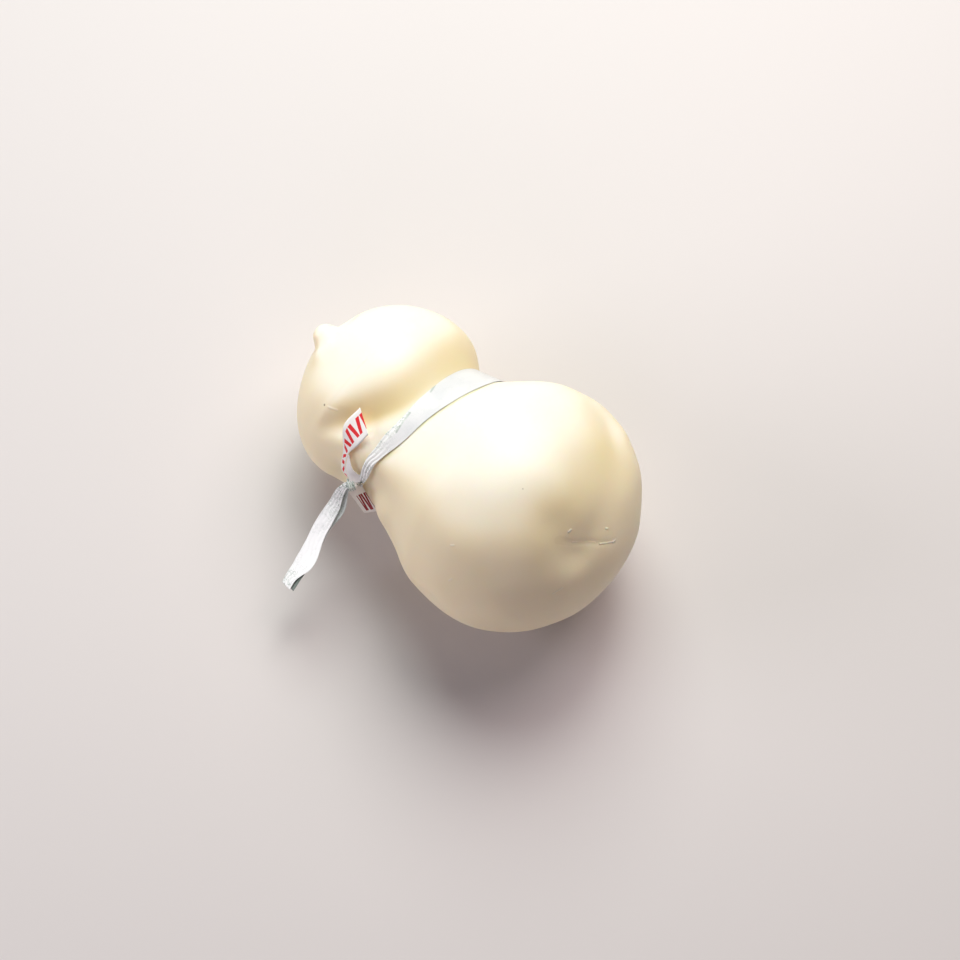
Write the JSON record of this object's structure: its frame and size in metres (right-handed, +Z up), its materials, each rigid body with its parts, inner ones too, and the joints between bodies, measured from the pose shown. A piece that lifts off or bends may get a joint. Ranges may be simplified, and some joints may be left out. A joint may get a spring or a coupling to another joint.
{
  "type": "scamorza cheese",
  "caption": "Pear-shaped pulled-curd cheese lying on its side, with a head ball, a tied neck, a ribbon round the neck and a label tape knotted on the ribbon's ends.",
  "frame": {"origin": "on the floor, under the middle of the whole object's box", "axes": "+X from the small ball to the large one, -Y towards the side where the ribbon's ends hang, +Z up"},
  "size_m": [0.1142, 0.0998, 0.0732],
  "materials": {
    "cheese": "smooth waxy ivory skin, slightly translucent",
    "ribbon": "white film ribbon, creased",
    "tape": "white printed tape with red bars"
  },
  "bodies": {
    "root": {"cheese": "cheese", "tie_ribbon": "ribbon", "label_tape": "tape"}
  },
  "joints": []
}
